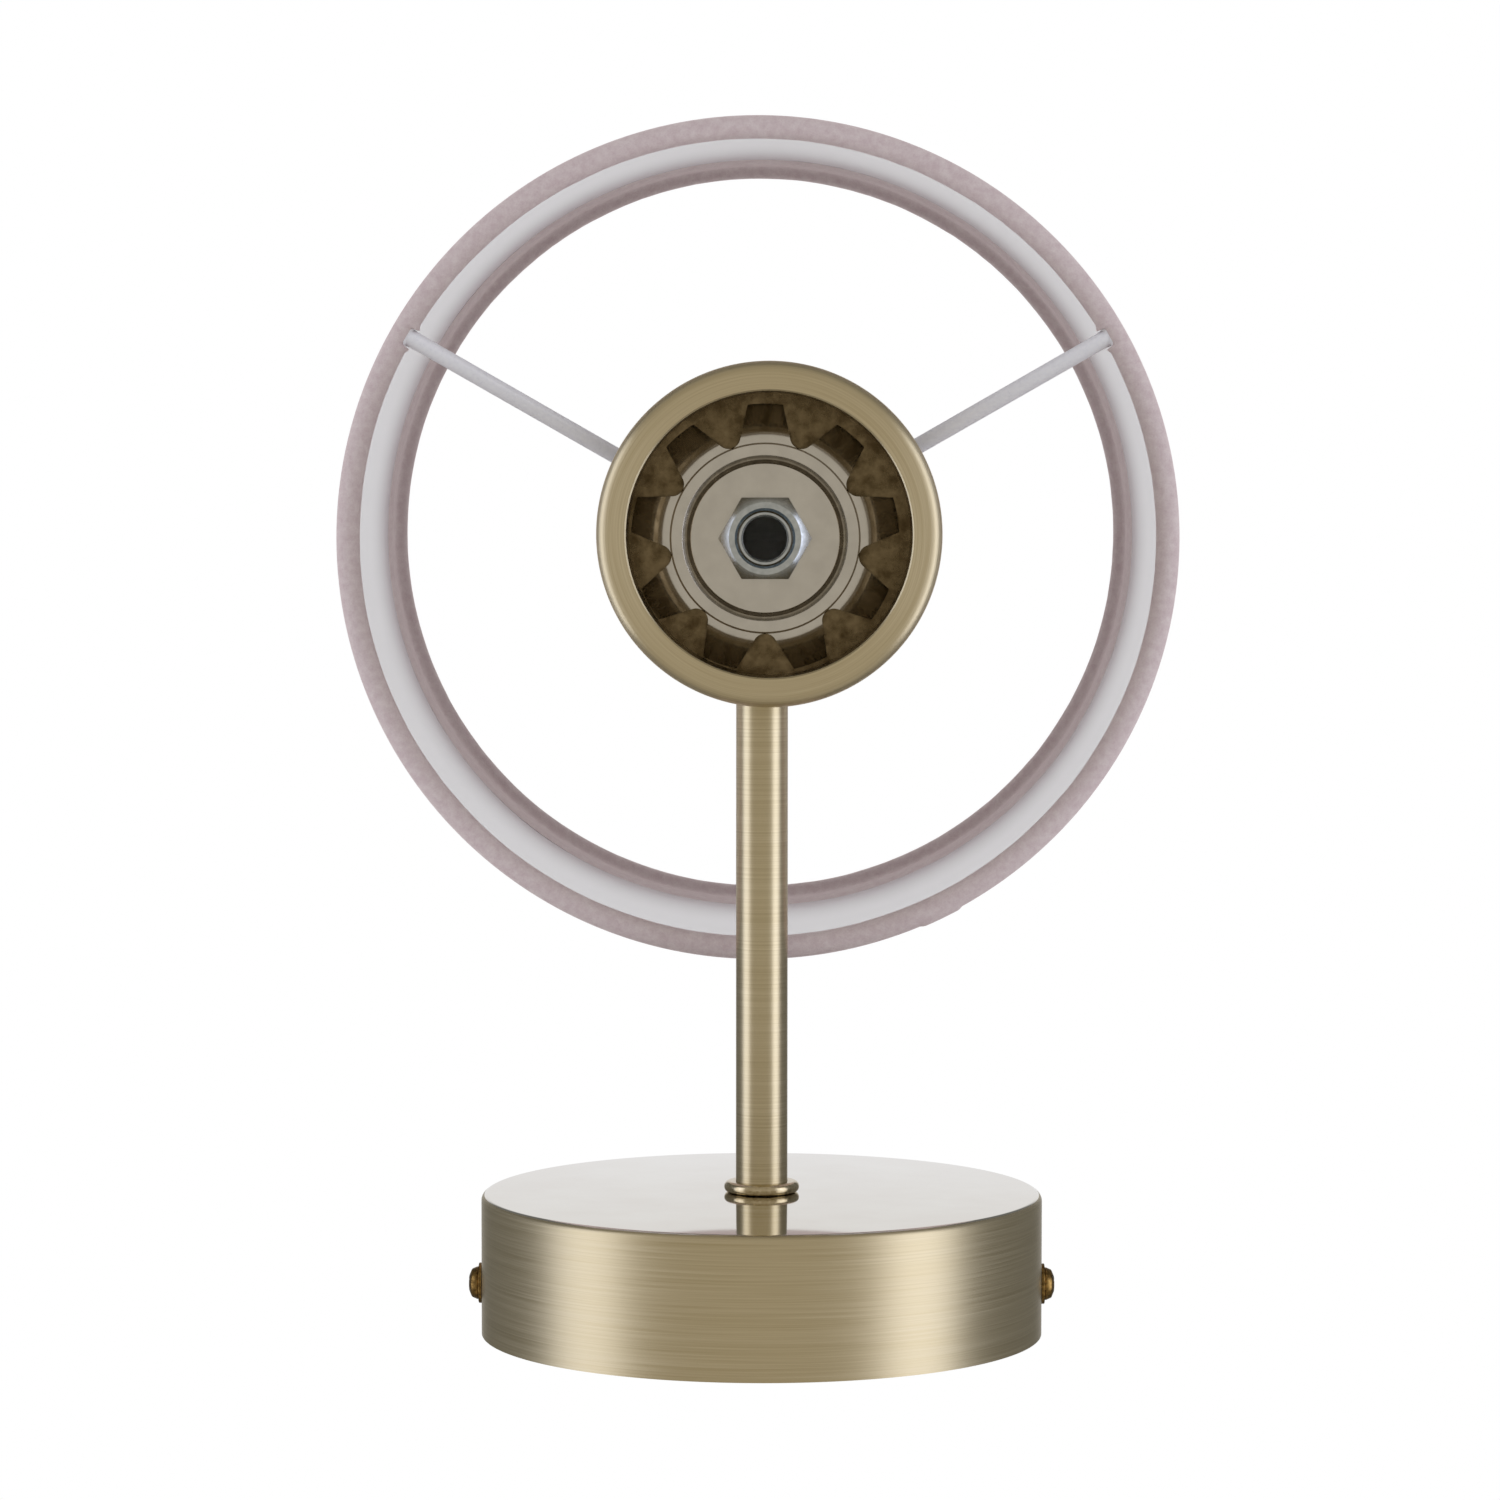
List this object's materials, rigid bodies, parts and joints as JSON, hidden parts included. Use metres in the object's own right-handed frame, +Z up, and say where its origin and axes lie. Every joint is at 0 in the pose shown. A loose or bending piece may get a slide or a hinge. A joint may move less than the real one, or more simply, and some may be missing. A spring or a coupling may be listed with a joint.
{
  "type": "wall sconce",
  "caption": "Wall sconce: round canopy, straight arm, turned lamp cup and a velvet drum shade clamped on the lampholder; the shade turns and lifts off.",
  "frame": {"origin": "centre of the canopy's rim, on the wall, at the middle of the two wall-screw slots", "axes": "+Z up in use, +Y into the wall, the arm leads out along -Y"},
  "size_m": [0.1516, 0.2171, 0.1724],
  "materials": {
    "canopy_brass": "antique brass plate, brushed round the side, polished face",
    "arm_brass": "antique brass plate, satin",
    "cup_brass": "antique brass plate on a turned aluminium body, brushed round its axis",
    "dark_brass": "dark antique brass",
    "zinc_steel": "zinc plate",
    "bright_zinc": "bright zinc plate",
    "nickel_steel": "nickel plate, satin",
    "raw_brass": "bare brass",
    "tinned_copper": "tinned",
    "black_phenolic": "moulded, satin",
    "white_ceramic": "glazed ceramic",
    "white_block": "moulded",
    "brown_lead": "flexible insulation",
    "blue_lead": "flexible insulation",
    "green_yellow_lead": "flexible insulation",
    "white_wire": "white powder coat",
    "white_lining": "satin plastic sheet",
    "pink_velvet": "short-pile velvet"
  },
  "bodies": {
    "lamp": {"canopy": "canopy_brass", "arm_tube": "arm_brass", "arm_collar": "arm_brass", "lamp_cup": "cup_brass", "wall_bracket": "zinc_steel", "terminal_block": "white_block", "terminal_sleeves": "raw_brass", "terminal_clamp_screws": "zinc_steel", "terminal_block_screw": "zinc_steel", "earth_screw": "zinc_steel", "earth_ring_terminal": "tinned_copper", "arm_lock_washer": "zinc_steel", "arm_lock_nut": "zinc_steel", "claw_disc": "nickel_steel", "claw_disc_nut": "bright_zinc", "threaded_nipple": "bright_zinc", "lampholder_cap": "black_phenolic", "lampholder_body": "black_phenolic", "lampholder_insert": "white_ceramic", "bulb_thread_shell": "raw_brass", "centre_contact": "tinned_copper", "lampholder_terminal_screws": "zinc_steel", "live_lead": "brown_lead", "neutral_lead": "blue_lead", "earth_lead": "green_yellow_lead"},
    "seat_ring": {"shade_seat_ring": "black_phenolic"},
    "shade": {"shade_fitter": "white_wire", "shade_bottom_wire": "white_wire", "shade_top_wire": "white_wire", "shade_spokes": "white_wire", "shade_lining": "white_lining", "shade_cover": "pink_velvet"},
    "clamp_ring": {"shade_clamp_ring": "black_phenolic"},
    "left_screw": {"canopy_screw_left": "dark_brass", "canopy_washer_left": "dark_brass"},
    "right_screw": {"canopy_screw_right": "dark_brass", "canopy_washer_right": "dark_brass"}
  },
  "joints": [
    {"name": "shade_turn", "type": "hinge", "parent": "lamp", "child": "seat_ring", "pos_m": [0.00055, -0.14175, 0.031], "axis": [0, 0, 1], "continuous": true},
    {"name": "shade_lift", "type": "slide", "parent": "seat_ring", "child": "shade", "axis": [0, 0, 1], "range_m": [0, 0.06]},
    {"name": "clamp_ring_turn", "type": "hinge", "parent": "shade", "child": "clamp_ring", "pos_m": [0.00055, -0.14175, 0.037], "axis": [0, 0, 1], "continuous": true},
    {"name": "left_screw_out", "type": "slide", "parent": "lamp", "child": "left_screw", "axis": [-1, 0, 0], "range_m": [0, 0.009]},
    {"name": "right_screw_out", "type": "slide", "parent": "lamp", "child": "right_screw", "axis": [1, 0, 0], "range_m": [0, 0.009]}
  ]
}
